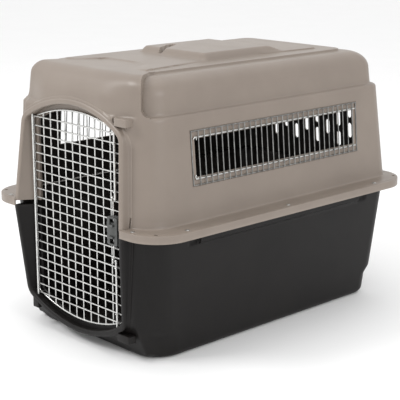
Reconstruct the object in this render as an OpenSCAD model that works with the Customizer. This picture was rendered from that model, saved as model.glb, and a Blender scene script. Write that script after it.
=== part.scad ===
// Hard-shell pet transport carrier: two moulded shells bolted at a seam flange,
// a sprung-latch wire door at the front (-Y) and a wire window grille in each side.
// Frame: +Z up, -Y towards the door, origin at the bottom centre of the whole object.

/* [Overall] */
// Length over the seam flange
carrier_length = 1016; // [1000:1:1040]
// Width over the seam flange
carrier_width = 720; // [712:1:740]
// Height of the moulded handle block's top
carrier_height = 762; // [758:1:775]
// Wall thickness of both shells
wall = 4; // [3.5:0.1:4.5]

/* [Shell body] */
// Half width of the body where it meets the flange
body_half_x = 301; // [298:1:303]
// Half length of the body where it meets the flange
body_half_y = 480; // [474:1:482]
// Plan radius of the body's corners
corner_r = 50; // [40:1:60]
// Inward lean of every wall, in millimetres per millimetre of height
draft = 0.085; // [0.07:0.005:0.09]
// Depth of the step where the upper sides are set in
shoulder_inset = 13; // [8:1:16]
// Height of the shoulder step
shoulder_z = 640; // [630:1:645]
// Height of the flat top
roof_z = 742; // [738:1:745]

/* [Seam flange] */
// Height where the two shells meet
seam_z = 360; // [358:1:362]
// Plan radius of the flange's corners
flange_r = 100; // [90:1:110]
// Height of the lip that turns down round the flange
lip_height = 21; // [16:1:24]
// Radius of the corner tie-down holes
tie_hole_r = 5; // [4:0.5:6]
// Half spacing of the corner tie-down holes across the carrier
tie_half_x = 322; // [320:1:324]
// Half spacing of the corner tie-down holes along the carrier
tie_half_y = 470; // [466:1:472]

/* [Door] */
// Height of the door's middle
door_mid_z = 345; // [344:1:346]
// Half width of the door between its edge wires
door_half_x = 187; // [186:1:188]
// Half height of the door at its middle
door_half_z = 284; // [282:1:285]
// Radius of the door's top and bottom arcs
door_arc_r = 463; // [455:1:480]
// Plane of the door's upright wires
door_plane_y = -462; // [-463:0.5:-461]
// Spacing of the upright wires
upright_pitch = 31.4; // [31:0.1:31.8]
// Spacing of the cross wires
cross_pitch = 25; // [24.8:0.1:25.2]
// Diameter of the door's grid wires
grid_wire_d = 4; // [3.5:0.1:4.4]
// Diameter of the door's rim wire
rim_wire_d = 5; // [4.5:0.1:5.4]
// Diameter of the hinge rod and the latch rods
rod_d = 6; // [5.6:0.1:6.4]
// Distance of the hinge rod from the middle of the carrier
hinge_x = 180; // [179:0.5:181]
// Distance of the latch rods from the middle of the carrier
latch_x = 168; // [167:0.5:169]
// Travel of each latch rod, from just clear of its socket to seated in it
latch_travel = 12; // [8:1:14]

/* [Door collar] */
// Half width of the collar's opening at the door's middle height
opening_half_x = 220; // [219:1:221]
// Width of the collar's front lip
collar_lip = 11; // [9:1:12]
// Front face of the collar
collar_front_y = -503; // [-505:1:-500]
// Radius of the collar's arches
arch_r = 375; // [365:1:385]
// Half height of the collar's opening at its middle
arch_half_z = 305; // [303:1:306]

/* [Window grilles] */
// Length of the grille's frame wire
grille_length = 646; // [640:1:650]
// Height of the grille's frame wire
grille_height = 138; // [136:1:140]
// Number of upright bars in a grille
grille_bars = 30; // [24:1:32]
// Middle of the grilles along the carrier
grille_mid_y = 7; // [0:1:10]
// Middle height of the grilles
grille_mid_z = 527; // [525:1:529]
// Diameter of the bars and the frame wire
grille_wire_d = 3; // [2.6:0.1:3.2]
// Diameter of the two rails
rail_d = 4.4; // [4:0.1:4.6]

/* [Hidden] */
$fn = 48;
SLAB = 0.2;
HULL_FN = 32;

taupe = [0.62, 0.57, 0.52];
charcoal = [0.13, 0.12, 0.12];
bright_wire = [0.82, 0.82, 0.81];
latch_grey = [0.27, 0.27, 0.26];
dark_plastic = [0.1, 0.1, 0.1];

half_l = carrier_length / 2;
half_w = carrier_width / 2;
flange_top = seam_z + wall;
lip_z = flange_top - lip_height;
rise = draft * (shoulder_z - flange_top);
shoulder_half_x = body_half_x - rise;
shoulder_half_y = body_half_y - rise;

// Half width of the side wall's outer face at height z
function side_x(z) = body_half_x - draft * abs(z - flange_top);

// Height of an arc above the chord middle, at distance x from the middle
function arc_drop(r, x) = r - sqrt(r * r - x * x);

// ---------- plan outlines ----------

module rounded_rect(hx, hy, r) {
    square([2 * hx, 2 * (hy - r)], center = true);
    square([2 * (hx - r), 2 * hy], center = true);
    for (sx = [-1, 1], sy = [-1, 1])
        translate([sx * (hx - r), sy * (hy - r)]) circle(r);
}

module plate(hx, hy, r, z, h) {
    translate([0, 0, z]) linear_extrude(h) rounded_rect(hx, hy, r);
}

module slab(hx, hy, r, z) {
    plate(hx, hy, r, z, SLAB, $fn = HULL_FN);
}

// ---------- door opening outlines, drawn in X and Z ----------

// Opening bounded by two arches and by sides that lean in away from the door's middle height
module arched_outline(half_x, half_z, r, lean) {
    edge_x = half_x - lean * half_z;
    intersection() {
        polygon([[-edge_x, half_z], [-half_x, 0], [-edge_x, -half_z],
                 [edge_x, -half_z], [half_x, 0], [edge_x, half_z]]);
        translate([0, half_z - r]) circle(r, $fn = 96);
        translate([0, r - half_z]) circle(r, $fn = 96);
    }
}

// Extrudes an XZ outline from front_y back to back_y
module along_y(front_y, back_y) {
    translate([0, back_y, door_mid_z]) rotate([90, 0, 0]) linear_extrude(back_y - front_y) children();
}

collar_back_y = -453;
lower_collar_back_y = -428;
stop_y = -455;
stop_half_x = 176;
stop_half_z = 276;

// Extrudes a YZ outline from side to side
module along_x(half_x) {
    translate([-half_x, 0, 0]) rotate([90, 0, 90]) linear_extrude(2 * half_x) children();
}

module collar_opening(front_y, back_y) {
    along_y(front_y, back_y) arched_outline(opening_half_x, arch_half_z, arch_r, draft);
}

module collar_outside(front_y, back_y) {
    along_y(front_y, back_y)
        arched_outline(opening_half_x + collar_lip, arch_half_z + collar_lip,
                       arch_r + collar_lip, draft);
}

// Ring round the door, its face leaning back above and below the door's middle
module collar_ring(back_y) {
    reach = arch_half_z + collar_lip;
    lean = draft * reach;
    intersection() {
        difference() {
            collar_outside(collar_front_y, back_y);
            collar_opening(collar_front_y - 1, back_y + 1);
        }
        along_x(half_w) polygon([[collar_front_y, door_mid_z],
                                 [collar_front_y + lean, door_mid_z + reach],
                                 [back_y, door_mid_z + reach],
                                 [back_y, door_mid_z - reach],
                                 [collar_front_y + lean, door_mid_z - reach]]);
    }
}

// Ledge behind the door's edge that keeps the door from swinging inwards
module door_stop() {
    difference() {
        along_y(stop_y, stop_y + wall) arched_outline(opening_half_x, arch_half_z, arch_r, draft);
        along_y(stop_y - 1, stop_y + wall + 1)
            arched_outline(stop_half_x, stop_half_z, arch_r, 0);
    }
}

cross_y = door_plane_y - grid_wire_d + 0.1;
cross_front_y = cross_y - grid_wire_d / 2;
hinge_rod_y = cross_front_y - rod_d / 2 + 0.1;
latch_rod_y = cross_front_y - rod_d / 2 - 0.4;
rod_places = [[-hinge_x, hinge_rod_y], [latch_x, latch_rod_y]];
socket_bore_r = rod_d / 2 + 0.08;
socket_mouth_low = 82;
socket_mouth_high = 2 * door_mid_z - socket_mouth_low;
tip_gap = 1;
socket_depth = latch_travel + 14;
block_half_x = 14;
block_front = 9;

// Sockets for the hinge rod and a latch rod, on the lower jambs
module lower_sockets() {
    for (p = rod_places)
        translate([p[0] - block_half_x, p[1] - block_front, socket_mouth_low - socket_depth - 6])
            cube([2 * block_half_x, stop_y - p[1] + block_front + 1, socket_depth + 6]);
}

// The same sockets above the door
module upper_sockets() {
    for (p = rod_places)
        translate([p[0] - block_half_x, p[1] - block_front, socket_mouth_high])
            cube([2 * block_half_x, stop_y - p[1] + block_front + 1, socket_depth + 6]);
}

module socket_bores() {
    for (p = rod_places) {
        translate([p[0], p[1], socket_mouth_low - socket_depth])
            cylinder(h = socket_depth + 10, r = socket_bore_r);
        translate([p[0], p[1], socket_mouth_high - 10])
            cylinder(h = socket_depth + 10, r = socket_bore_r);
    }
}

// ---------- fasteners round the flange ----------

bolt_x = 343;
bolt_ys = [-385, -16, 352];
end_bolt_x = 262;
end_bolt_y = 494;
bolt_r = 2.5;
bolt_hole_r = 3;
bolt_head_r = 6.5;
washer_h = 1;
nut_h = 9;

module at_bolts() {
    for (side = [-1, 1]) {
        for (y = bolt_ys) translate([side * bolt_x, y, 0]) children();
        for (end = [-1, 1])
            translate([side * end_bolt_x, end * end_bolt_y, 0]) rotate([0, 0, 90]) children();
    }
}

module flange_holes() {
    at_bolts() translate([0, 0, lip_z]) cylinder(h = 2 * lip_height, r = bolt_hole_r);
    for (sx = [-1, 1], sy = [-1, 1])
        translate([sx * tie_half_x, sy * tie_half_y, lip_z])
            cylinder(h = 2 * lip_height, r = tie_hole_r);
}

// ---------- top shell ----------

edge_round = 30;

// The upper body with its walls moved in by t
module top_body(t) {
    hull() {
        slab(body_half_x - t, body_half_y - t, corner_r - t, seam_z);
        slab(shoulder_half_x - t, shoulder_half_y - t, corner_r - t, shoulder_z - t);
    }
    upper_x = shoulder_half_x - shoulder_inset;
    upper_y = shoulder_half_y - shoulder_inset;
    lean = draft * (roof_z - shoulder_z);
    hull() {
        slab(upper_x - t, upper_y - t, corner_r - t, shoulder_z - t - SLAB);
        slab(upper_x - lean - t, upper_y - lean - t, corner_r - t, roof_z - edge_round);
        slab(upper_x - lean - 8 - t, upper_y - lean - 8 - t, corner_r - t, roof_z - 10);
        slab(upper_x - lean - 26 - t, upper_y - lean - 26 - t, corner_r - 8, roof_z - t - SLAB);
    }
    front_cut_y = -shoulder_half_y + 34;
    intersection() {
        hull() {
            slab(shoulder_half_x - t, shoulder_half_y - t, corner_r - t, shoulder_z - t - SLAB);
            slab(shoulder_half_x - lean - t, shoulder_half_y - lean - t, corner_r - t,
                 roof_z - edge_round);
            slab(shoulder_half_x - lean - 30 - t, shoulder_half_y - lean - 30 - t,
                 corner_r - 8, roof_z - t - SLAB);
        }
        translate([-half_w, -half_l, seam_z])
            cube([2 * half_w, half_l + front_cut_y - t, roof_z]);
    }
}

brow_face_y = -477;
brow_low_z = 595;
brow_shoulder_z = 640;
brow_crest_z = 717;
brow_top_z = 724;
brow_low_half_x = 205;
brow_crest_half_x = 135;

// Raised face above the door arch, flush with the collar and closing over the upper sockets
module brow() {
    low = brow_low_z - door_mid_z;
    shoulder = brow_shoulder_z - door_mid_z;
    crest = brow_crest_z - door_mid_z;
    intersection() {
        along_y(-half_l, collar_back_y)
            polygon([[-brow_low_half_x, low], [-brow_low_half_x, shoulder],
                     [-brow_crest_half_x, crest], [brow_crest_half_x, crest],
                     [brow_low_half_x, shoulder], [brow_low_half_x, low]]);
        along_x(half_w)
            polygon([[brow_face_y - 5, brow_low_z], [brow_face_y + 4, 700],
                     [brow_face_y + 24, brow_top_z], [collar_back_y + 1, brow_top_z],
                     [collar_back_y + 1, brow_low_z]]);
    }
}

plateau_rise = 6;
plateau_half_x = 150;
plateau_front_y = -290;
plateau_back_y = 310;
block_top_half_x = 118;
block_base_half_x = 140;
block_front_y = -135;
block_back_y = 175;

// Low plateau on the roof and the moulded handle block on it
module roof_block() {
    translate([-plateau_half_x, plateau_front_y, roof_z - wall])
        cube([2 * plateau_half_x, plateau_back_y - plateau_front_y, wall + plateau_rise]);
    mid_y = (block_front_y + block_back_y) / 2;
    half_y = (block_back_y - block_front_y) / 2;
    translate([0, mid_y, 0]) hull() {
        slab(block_base_half_x, half_y, 20, roof_z);
        slab(block_top_half_x, half_y - 18, 20, carrier_height - SLAB);
    }
}

// Three-cornered finger pocket in the front slope of the handle block
module finger_pocket() {
    translate([-62, block_front_y - 4, roof_z + plateau_rise + 1])
        linear_extrude(20) polygon([[0, 0], [46, 10], [30, 34]]);
}

vent_cols = 8;
vent_pitch = 43.7;
vent_w = 15;
vent_h = 46;
vent_rows = 3;
vent_row_pitch = 62;
vent_low_z = 425;

// Staggered upright slots through the rear wall
module rear_vents() {
    for (i = [0 : vent_cols - 1], j = [0 : vent_rows - 1]) {
        z = vent_low_z + j * vent_row_pitch + (i % 2) * vent_row_pitch / 2;
        x = (i - (vent_cols - 1) / 2) * vent_pitch;
        translate([x, half_l, z]) rotate([90, 0, 0]) linear_extrude(100) {
            translate([0, vent_w / 2]) circle(vent_w / 2);
            translate([0, vent_h - vent_w / 2]) circle(vent_w / 2);
            translate([-vent_w / 2, vent_w / 2]) square([vent_w, vent_h - vent_w]);
        }
    }
}

window_tilt = atan(draft);
window_half_y = grille_length / 2 - 12;
window_half_z = grille_height / 2 - 20;

// Places children on a side wall's outer face: local +X points out of the wall
module on_side(side) {
    mirror([side < 0 ? 1 : 0, 0, 0])
        translate([side_x(grille_mid_z), grille_mid_y, grille_mid_z])
            rotate([0, -window_tilt, 0]) children();
}

module window_opening() {
    translate([-60, -window_half_y, -window_half_z])
        cube([120, 2 * window_half_y, 2 * window_half_z]);
}

// Shallow rebate that the grille's frame wire lies in
module window_rebate() {
    translate([-rebate_depth, -grille_length / 2 - 3, -grille_height / 2 - 3])
        cube([10, grille_length + 6, grille_height + 6]);
}

module top_shell() {
    color(taupe) difference() {
        union() {
            difference() {
                union() {
                    top_body(0);
                    roof_block();
                }
                top_body(wall);
                translate([0, 0, -1]) plate(body_half_x - wall, body_half_y - wall,
                                            corner_r - wall, seam_z, 2);
            }
            difference() {
                plate(half_w, half_l, flange_r, lip_z, lip_height);
                plate(half_w - wall, half_l - wall, flange_r - wall, lip_z - 1, lip_height - wall + 1);
                plate(body_half_x - wall, body_half_y - wall, corner_r - wall, lip_z, 2 * lip_height);
            }
            intersection() {
                union() {
                    collar_ring(collar_back_y);
                    door_stop();
                    upper_sockets();
                    brow();
                }
                translate([-half_w, -half_l, seam_z]) cube([2 * half_w, half_l, roof_z - seam_z]);
            }
        }
        difference() {
            collar_opening(-half_l - 1, stop_y);
            upper_sockets();
        }
        along_y(-half_l, stop_y + 60) arched_outline(stop_half_x, stop_half_z, arch_r, 0);
        socket_bores();
        flange_holes();
        for (side = [-1, 1]) on_side(side) {
            window_opening();
            window_rebate();
        }
        rear_vents();
        finger_pocket();
    }
}

// ---------- bottom shell ----------

foot_step_z = 68;
foot_step = 17;
foot_round = 18;

// The lower body with its walls moved in by t
module bottom_body(t) {
    top_z = seam_z - wall;
    step_drop = draft * (top_z - foot_step_z);
    foot_y = body_half_y - step_drop - foot_step;
    foot_drop = draft * (top_z - foot_round);
    hull() {
        slab(body_half_x - t, body_half_y - t, corner_r - t, top_z);
        slab(body_half_x - step_drop - t, body_half_y - step_drop - t, corner_r - t, foot_step_z + t);
    }
    hull() {
        slab(body_half_x - step_drop - t, foot_y - t, corner_r - t, foot_step_z + t);
        slab(body_half_x - foot_drop - t, foot_y - 4 - t, corner_r - t, foot_round + t);
        slab(body_half_x - foot_drop - 6 - t, foot_y - 10 - t, corner_r - t, t + 5);
        slab(body_half_x - foot_drop - foot_round - t, foot_y - 4 - foot_round - t,
             corner_r - 10, t);
    }
}

apron_face_y = -479;
apron_low_z = 8;

// Slope from the collar's lower lip down to the foot, closing over the lower sockets
module apron() {
    intersection() {
        along_y(-half_l, lower_collar_back_y)
            polygon([[-212, -240], [-246, -337], [246, -337], [212, -240]]);
        along_x(half_w)
            polygon([[apron_face_y, 105], [apron_face_y + 1, 58], [lower_collar_back_y - 2, apron_low_z],
                     [lower_collar_back_y, apron_low_z], [lower_collar_back_y, 105]]);
    }
}

grip_panel_front = -300;
grip_panel_back = 335;
grip_panel_low = 302;
grip_panel_out = 7;

// Raised panel under the flange on each side, used as a lifting edge
module side_panels() {
    panel_lean = draft * (seam_z - wall - grip_panel_low);
    for (side = [-1, 1]) mirror([side < 0 ? 1 : 0, 0, 0])
        translate([0, grip_panel_back, 0]) rotate([90, 0, 0])
            linear_extrude(grip_panel_back - grip_panel_front)
                polygon([[body_half_x - 12, seam_z - wall / 2],
                         [body_half_x + grip_panel_out, seam_z - wall / 2],
                         [body_half_x + grip_panel_out - panel_lean, grip_panel_low + 6],
                         [body_half_x - panel_lean - 2, grip_panel_low],
                         [body_half_x - 12, grip_panel_low]]);
}

module bottom_shell() {
    inner_gap = 1;
    color(charcoal) difference() {
        union() {
            difference() {
                union() {
                    bottom_body(0);
                    side_panels();
                }
                bottom_body(wall);
                translate([0, 0, seam_z - wall - 1])
                    plate(body_half_x - wall, body_half_y - wall, corner_r - wall, 0, 10);
            }
            difference() {
                plate(half_w - wall - inner_gap, half_l - wall - inner_gap, flange_r - wall - inner_gap,
                      seam_z - wall, wall);
                plate(body_half_x - wall, body_half_y - wall, corner_r - wall, lip_z, 2 * lip_height);
            }
            intersection() {
                union() {
                    collar_ring(lower_collar_back_y);
                    door_stop();
                    lower_sockets();
                    apron();
                }
                translate([-half_w, -half_l, 0]) cube([2 * half_w, half_l, seam_z]);
            }
        }
        difference() {
            collar_opening(-half_l - 1, stop_y);
            lower_sockets();
        }
        along_y(-half_l, stop_y + 60) arched_outline(stop_half_x, stop_half_z, arch_r, 0);
        socket_bores();
        flange_holes();
    }
}

// ---------- flange fasteners ----------

module flange_bolts() {
    color(bright_wire) at_bolts() {
        translate([0, 0, lip_z - 2]) cylinder(h = flange_top - lip_z + 3, r = bolt_r);
        translate([0, 0, flange_top]) cylinder(h = 1.2, r = bolt_head_r);
        translate([0, 0, flange_top + 1.2]) intersection() {
            translate([0, 0, -8]) sphere(r = sqrt(64 + bolt_head_r * bolt_head_r));
            cylinder(h = 4, r = bolt_head_r);
        }
    }
}

module flange_washers() {
    color(bright_wire) at_bolts() translate([0, 0, seam_z - wall - washer_h]) difference() {
        cylinder(h = washer_h, r = 7.5);
        translate([0, 0, -1]) cylinder(h = washer_h + 2, r = bolt_hole_r);
    }
}

// Plastic wing nuts
module flange_nuts() {
    top = seam_z - wall - washer_h;
    color(dark_plastic) at_bolts() difference() {
        union() {
            translate([0, 0, top - nut_h]) cylinder(h = nut_h, r = 5.5);
            translate([-1.5, -11, top - nut_h - 3]) cube([3, 22, nut_h]);
        }
        translate([0, 0, top - nut_h - 5]) cylinder(h = nut_h + 6, r = bolt_r + 0.05);
    }
}

// ---------- window grilles ----------

rebate_depth = 1.2;
rail_half_z = grille_height / 2 - 16;
rail_out = rail_d / 2 - rebate_depth;
frame_out = grille_wire_d / 2 - rebate_depth;
bar_out = rail_d + grille_wire_d / 2 - rebate_depth + 0.02;
bar_half_z = grille_height / 2 + 1;
curl_r = 5;

module wire_y(length, d) {
    translate([0, length / 2, 0]) rotate([90, 0, 0]) cylinder(h = length, d = d);
}

// Rectangle of wire that lies in the wall's rebate
module grille_frame() {
    for (s = [-1, 1]) {
        translate([frame_out, 0, s * grille_height / 2])
            wire_y(grille_length + grille_wire_d, grille_wire_d);
        translate([frame_out, s * grille_length / 2, -grille_height / 2])
            cylinder(h = grille_height, d = grille_wire_d);
    }
}

module grille_bars_set() {
    pitch = grille_length / (grille_bars + 1);
    for (i = [1 : grille_bars])
        translate([bar_out, i * pitch - grille_length / 2, -bar_half_z])
            cylinder(h = 2 * bar_half_z, d = grille_wire_d);
}

// Two thicker rails behind the bars, each curled round at its front end
module grille_rails() {
    for (s = [-1, 1]) translate([rail_out, 0, s * rail_half_z]) {
        wire_y(grille_length - 14, rail_d);
        translate([0, -grille_length / 2 + 7 + curl_r, -s * curl_r])
            rotate([0, 90, 0]) rotate([0, 0, s > 0 ? 60 : -150])
                rotate_extrude(angle = 210) translate([curl_r, 0]) circle(d = rail_d * 0.7);
    }
}

module right_grille_frame() { color(bright_wire) on_side(1) grille_frame(); }
module right_grille_bars() { color(bright_wire) on_side(1) grille_bars_set(); }
module right_grille_rails() { color(bright_wire) on_side(1) grille_rails(); }
module left_grille_frame() { color(bright_wire) on_side(-1) grille_frame(); }
module left_grille_bars() { color(bright_wire) on_side(-1) grille_bars_set(); }
module left_grille_rails() { color(bright_wire) on_side(-1) grille_rails(); }

// ---------- door ----------

upright_count = 10;
cross_count = 21;
edge_half_z = door_half_z - arc_drop(door_arc_r, door_half_x);

// Half height of the door at distance x from its middle
function door_reach_z(x) = door_half_z - arc_drop(door_arc_r, x);

module door_rim_wire() {
    sweep_angle = 2 * asin(door_half_x / door_arc_r);
    color(bright_wire) for (s = [-1, 1]) {
        translate([0, door_plane_y, door_mid_z + s * (door_half_z - door_arc_r)])
            rotate([90, 0, 0]) rotate([0, 0, s * 90 - sweep_angle / 2])
                rotate_extrude(angle = sweep_angle, $fn = 96)
                    translate([door_arc_r, 0]) circle(d = rim_wire_d);
        translate([s * door_half_x, door_plane_y, door_mid_z - edge_half_z])
            cylinder(h = 2 * edge_half_z, d = rim_wire_d);
        for (e = [-1, 1])
            translate([s * door_half_x, door_plane_y, door_mid_z + e * edge_half_z])
                sphere(d = rim_wire_d + 0.6);
    }
}

module door_upright_wires() {
    color(bright_wire) for (i = [0 : upright_count - 1]) {
        x = (i - (upright_count - 1) / 2) * upright_pitch;
        reach = door_reach_z(x);
        translate([x, door_plane_y, door_mid_z - reach]) cylinder(h = 2 * reach, d = grid_wire_d);
    }
}

// Half length of the cross wire at height dz from the door's middle
function cross_reach(dz) =
    abs(dz) < edge_half_z
        ? door_half_x + rim_wire_d / 2
        : sqrt(door_arc_r * door_arc_r - pow(door_arc_r - door_half_z + abs(dz), 2)) + 3;

module door_cross_wires() {
    color(bright_wire) for (i = [0 : cross_count - 1]) {
        dz = (i - (cross_count - 1) / 2) * cross_pitch;
        reach = cross_reach(dz);
        translate([-reach, cross_y, door_mid_z + dz]) rotate([0, 90, 0])
            cylinder(h = 2 * reach, d = grid_wire_d);
    }
}

rod_bottom_z = socket_mouth_low - socket_depth + 4;

module hinge_rod() {
    color(bright_wire) translate([-hinge_x, hinge_rod_y, rod_bottom_z])
        cylinder(h = 2 * (door_mid_z - rod_bottom_z), d = rod_d);
}

// ---------- latch ----------

housing_half_x = 20;
housing_half_z = 37;
housing_depth = 16;
housing_wall = 2.5;
housing_back_y = cross_front_y - 0.1;
housing_front_y = housing_back_y - housing_depth;
rib_half_z = 2;
link_d = 4;
link_x = latch_x - 8;
hook_z = 82;
hook_wrap = 190;
eye_r = rod_d / 2 + link_d / 2 + 0.1;
guide_d = 2.5;
guide_r = rod_d / 2 + guide_d / 2 + 0.4;
tab_low = 9;
tab_high = 21;
tab_half_x = 12;
spring_coil_r = 4;
spring_wire_r = 0.6;
spring_turns = 3.5;

// Repeats children above (s = 1) or below (s = -1) the latch's middle
module latch_half(s) {
    translate([latch_x, 0, door_mid_z]) mirror([0, 0, s < 0 ? 1 : 0]) children();
}

// Staples that hold the latch rods to four cross wires
module latch_rod_guides() {
    color(bright_wire) for (s = [-1, 1], k = [4, 9]) latch_half(s)
        translate([0, latch_rod_y, k * cross_pitch]) {
            rotate([0, 0, 180]) rotate_extrude(angle = 180) translate([guide_r, 0]) circle(d = guide_d);
            for (e = [-1, 1]) translate([e * guide_r, cross_y - latch_rod_y, 0]) rotate([90, 0, 0])
                cylinder(h = cross_y - latch_rod_y, d = guide_d);
        }
}

module latch_back_cover() {
    back_y = door_plane_y + 4.5;
    front = cross_y + grid_wire_d / 2 + 0.1;
    color(latch_grey) translate([latch_x - 19, front, door_mid_z - housing_half_z + 3])
        cube([33, back_y - front, 2 * housing_half_z - 6]);
}

// Housing open at the back, with a slot for each tab, a hole for each link and a middle rib
module latch_front_cover() {
    inner_x = housing_half_x - housing_wall;
    inner_z = housing_half_z - housing_wall;
    color(latch_grey) {
        difference() {
            translate([latch_x, housing_back_y, door_mid_z]) rotate([90, 0, 0])
                linear_extrude(housing_depth) rounded_rect(housing_half_x, housing_half_z, 6);
            translate([latch_x - inner_x, housing_front_y + housing_wall, door_mid_z - inner_z])
                cube([2 * inner_x, housing_depth, 2 * inner_z]);
            for (s = [-1, 1]) latch_half(s) {
                translate([-9, housing_front_y - 1, 12.5]) cube([18, housing_wall + 2, 20.5]);
                translate([link_x - latch_x, latch_rod_y, inner_z - 1])
                    cylinder(h = housing_wall + 2, r = link_d / 2 + 0.4);
            }
            for (k = [-1.5 : 1 : 1.5])
                translate([latch_x - housing_half_x - 3, housing_front_y - 1, door_mid_z + k * 17])
                    rotate([-90, 0, 0]) cylinder(h = housing_depth + 2, r = 5);
        }
        translate([latch_x - inner_x, housing_front_y + housing_wall, door_mid_z - rib_half_z])
            cube([2 * inner_x, housing_depth - housing_wall, 2 * rib_half_z]);
    }
}

// Sliding block with a finger pad that stands out through the housing's slot
module squeeze_tab() {
    translate([-tab_half_x, housing_front_y + housing_wall + 0.4, tab_low])
        cube([2 * tab_half_x, housing_depth - housing_wall - 1, tab_high - tab_low]);
    translate([-8, housing_front_y - 5, tab_low + 4]) cube([16, 9, 5]);
}

// Wire from the tab up to a hook round the front of the rod's bent end
module latch_link() {
    hook_low_z = hook_z - eye_r;
    translate([link_x - latch_x, latch_rod_y, 0]) {
        translate([0, 0, tab_high]) cylinder(h = hook_low_z - tab_high, d = link_d);
        translate([0, 0, hook_z]) rotate([0, 90, 0]) rotate([0, 0, -hook_wrap])
            rotate_extrude(angle = hook_wrap) translate([eye_r, 0]) circle(d = link_d);
    }
}

// Straight rod with its inner end bent over towards the hinge
module latch_rod() {
    tip_z = door_mid_z - socket_mouth_low - tip_gap;
    translate([0, latch_rod_y, hook_z]) {
        cylinder(h = tip_z - hook_z, d = rod_d);
        sphere(d = rod_d);
        translate([-13, 0, 0]) rotate([0, 90, 0]) cylinder(h = 13, d = rod_d);
    }
}

spring_sides = 8;
spring_steps = 12;
spring_low = rib_half_z + spring_wire_r;
spring_high = tab_low - spring_wire_r;

// Point on the spring's tube wall: step i along the helix, side j round the wire
function spring_point(i, j) =
    let (turn = i * 360 / spring_steps,
         z = spring_low + (spring_high - spring_low) * i / (spring_turns * spring_steps),
         out = spring_coil_r + spring_wire_r * cos(j * 360 / spring_sides))
    [out * cos(turn), out * sin(turn), z + spring_wire_r * sin(j * 360 / spring_sides)];

module latch_spring() {
    rings = spring_turns * spring_steps;
    points = [for (i = [0 : rings], j = [0 : spring_sides - 1]) spring_point(i, j)];
    walls = [for (i = [0 : rings - 1], j = [0 : spring_sides - 1])
        let (a = i * spring_sides, b = a + spring_sides, k = (j + 1) % spring_sides)
        [a + j, b + j, b + k, a + k]];
    start = [for (j = [0 : spring_sides - 1]) j];
    finish = [for (j = [spring_sides - 1 : -1 : 0]) rings * spring_sides + j];
    translate([0, (housing_front_y + housing_wall + housing_back_y) / 2, 0])
        polyhedron(points, concat([start], walls, [finish]));
}

module upper_latch_rod() { color(bright_wire) latch_half(1) latch_rod(); }
module upper_latch_link() { color(bright_wire) latch_half(1) latch_link(); }
module upper_squeeze_tab() { color(latch_grey) latch_half(1) squeeze_tab(); }
module upper_latch_spring() { color(bright_wire) latch_half(1) latch_spring(); }
module lower_latch_rod() { color(bright_wire) latch_half(-1) latch_rod(); }
module lower_latch_link() { color(bright_wire) latch_half(-1) latch_link(); }
module lower_squeeze_tab() { color(latch_grey) latch_half(-1) squeeze_tab(); }
module lower_latch_spring() { color(bright_wire) latch_half(-1) latch_spring(); }

top_shell();
bottom_shell();
flange_bolts();
flange_washers();
flange_nuts();
right_grille_frame();
right_grille_bars();
right_grille_rails();
left_grille_frame();
left_grille_bars();
left_grille_rails();
door_rim_wire();
door_upright_wires();
door_cross_wires();
hinge_rod();
latch_rod_guides();
latch_back_cover();
latch_front_cover();
upper_latch_rod();
upper_latch_link();
upper_squeeze_tab();
upper_latch_spring();
lower_latch_rod();
lower_latch_link();
lower_squeeze_tab();
lower_latch_spring();
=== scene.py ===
"""Looks of the pet transport carrier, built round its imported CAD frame."""

import math

import bpy
import numpy as np
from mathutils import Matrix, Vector


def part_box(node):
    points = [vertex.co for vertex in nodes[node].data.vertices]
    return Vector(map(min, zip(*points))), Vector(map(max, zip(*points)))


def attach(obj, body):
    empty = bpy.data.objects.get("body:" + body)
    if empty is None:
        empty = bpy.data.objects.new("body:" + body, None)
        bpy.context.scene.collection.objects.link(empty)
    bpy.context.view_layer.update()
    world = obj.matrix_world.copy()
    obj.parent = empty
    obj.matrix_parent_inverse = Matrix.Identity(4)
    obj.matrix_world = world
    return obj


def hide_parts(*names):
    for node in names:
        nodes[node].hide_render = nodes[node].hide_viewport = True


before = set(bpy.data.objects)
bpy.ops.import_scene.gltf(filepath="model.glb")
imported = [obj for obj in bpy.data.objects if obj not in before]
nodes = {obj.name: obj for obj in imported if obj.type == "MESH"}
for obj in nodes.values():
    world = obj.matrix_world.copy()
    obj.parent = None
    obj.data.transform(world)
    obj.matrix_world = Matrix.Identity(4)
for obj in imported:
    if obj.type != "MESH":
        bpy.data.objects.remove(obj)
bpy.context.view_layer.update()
MM = 0.001

top_lo, top_hi = (np.array(c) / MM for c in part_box("top_shell"))
HALF_W, HALF_L, HEIGHT, LIP_Z = top_hi[0], top_hi[1], top_hi[2], top_lo[2]
FLANGE_Z = LIP_Z + 21.0
SEAM_Z = FLANGE_Z - 4.0
BODY_X, BODY_Y, BODY_R, FRONT_R = 301.0, 480.0, 50.0, 82.0
DRAFT = 0.0875
ROOF_Z = 741.5
COLLAR_Y, COLLAR_MID_Z = -503.0, 345.0
WALL = 4.0


# ---------- small helpers ----------


def smooth(a, b, x):
    t = np.clip((np.asarray(x, float) - a) / (b - a), 0, 1)
    return t * t * (3 - 2 * t)


def new_object(name, points, faces, body, material, smooth_angle=35):
    """A mesh object from points in millimetres, riding on a CAD body."""
    mesh = bpy.data.meshes.new(name)
    mesh.from_pydata([tuple(p) for p in np.asarray(points, float) * MM], [], faces)
    mesh.validate()
    obj = bpy.data.objects.new(name, mesh)
    bpy.context.scene.collection.objects.link(obj)
    mesh.materials.append(material)
    mesh.shade_smooth()
    mesh.set_sharp_from_angle(angle=math.radians(smooth_angle))
    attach(obj, body)
    return obj


def bake_modifiers(obj, smooth_angle=35):
    """Replaces the object's mesh by the result of its modifiers."""
    bpy.context.view_layer.update()
    made = bpy.data.meshes.new_from_object(obj.evaluated_get(bpy.context.evaluated_depsgraph_get()))
    obj.modifiers.clear()
    obj.data = made
    made.shade_smooth()
    made.set_sharp_from_angle(angle=math.radians(smooth_angle))


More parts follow.
